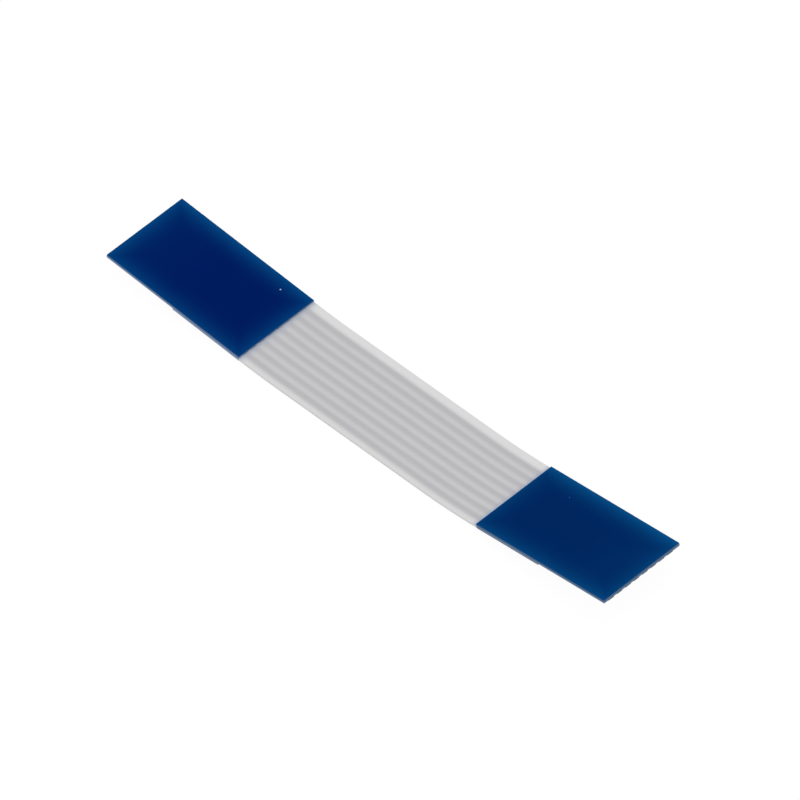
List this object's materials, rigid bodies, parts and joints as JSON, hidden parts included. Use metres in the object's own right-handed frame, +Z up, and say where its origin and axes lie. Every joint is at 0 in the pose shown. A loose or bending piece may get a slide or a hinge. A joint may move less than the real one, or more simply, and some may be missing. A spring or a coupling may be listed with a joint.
{
  "type": "flat flex cable",
  "caption": "Short flat flex jumper cable with parallel flat conductors between two white films, a blue stiffener on top of each end and bare contacts underneath.",
  "frame": {"origin": "on the surface it lies on, under the middle of the cable's outline seen from above", "axes": "+X along the cable towards its shorter stiffener, +Y across it, +Z up, out of the side with the stiffeners"},
  "size_m": [0.03, 0.0044, 0.0013],
  "materials": {
    "film": "white polyester film, satin",
    "stiffener": "deep blue polyester sheet, satin",
    "conductor": "bright tin plating on flat rolled copper"
  },
  "bodies": {
    "root": {"upper_film": "film", "lower_film": "film", "stiffener_left": "stiffener", "stiffener_right": "stiffener", "conductor_1": "conductor", "conductor_2": "conductor", "conductor_3": "conductor", "conductor_4": "conductor", "conductor_5": "conductor", "conductor_6": "conductor", "conductor_7": "conductor", "conductor_8": "conductor"}
  },
  "joints": []
}
